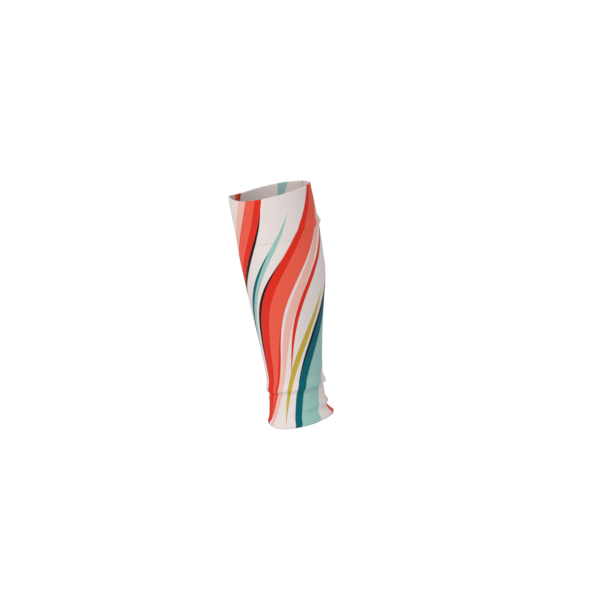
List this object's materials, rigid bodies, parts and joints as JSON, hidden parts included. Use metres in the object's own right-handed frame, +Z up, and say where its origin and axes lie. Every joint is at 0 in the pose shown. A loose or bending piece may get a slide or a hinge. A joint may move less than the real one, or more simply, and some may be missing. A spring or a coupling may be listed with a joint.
{
  "type": "leg sleeve",
  "caption": "Printed knitted calf sleeve in its worn form: a tapered tube that swells over the calf, with a doubled band at the top and a folded, flared cuff at the ankle.",
  "frame": {"origin": "on the leg's line, at the height where the calf is fullest, where the leg holds the sleeve", "axes": "+Z up the leg to the knee, -Y forward over the shin, +X to the inner side of a right leg"},
  "size_m": [0.106, 0.1148, 0.3199],
  "materials": {
    "body_knit": "printed fine knit, matt with a soft sheen",
    "band_knit": "printed fine knit, doubled, matt with a soft sheen",
    "cuff_knit": "printed fine ribbed knit, doubled, matt with a soft sheen"
  },
  "bodies": {
    "root": {"calf_body": "body_knit", "top_band": "band_knit", "ankle_cuff": "cuff_knit"}
  },
  "joints": []
}
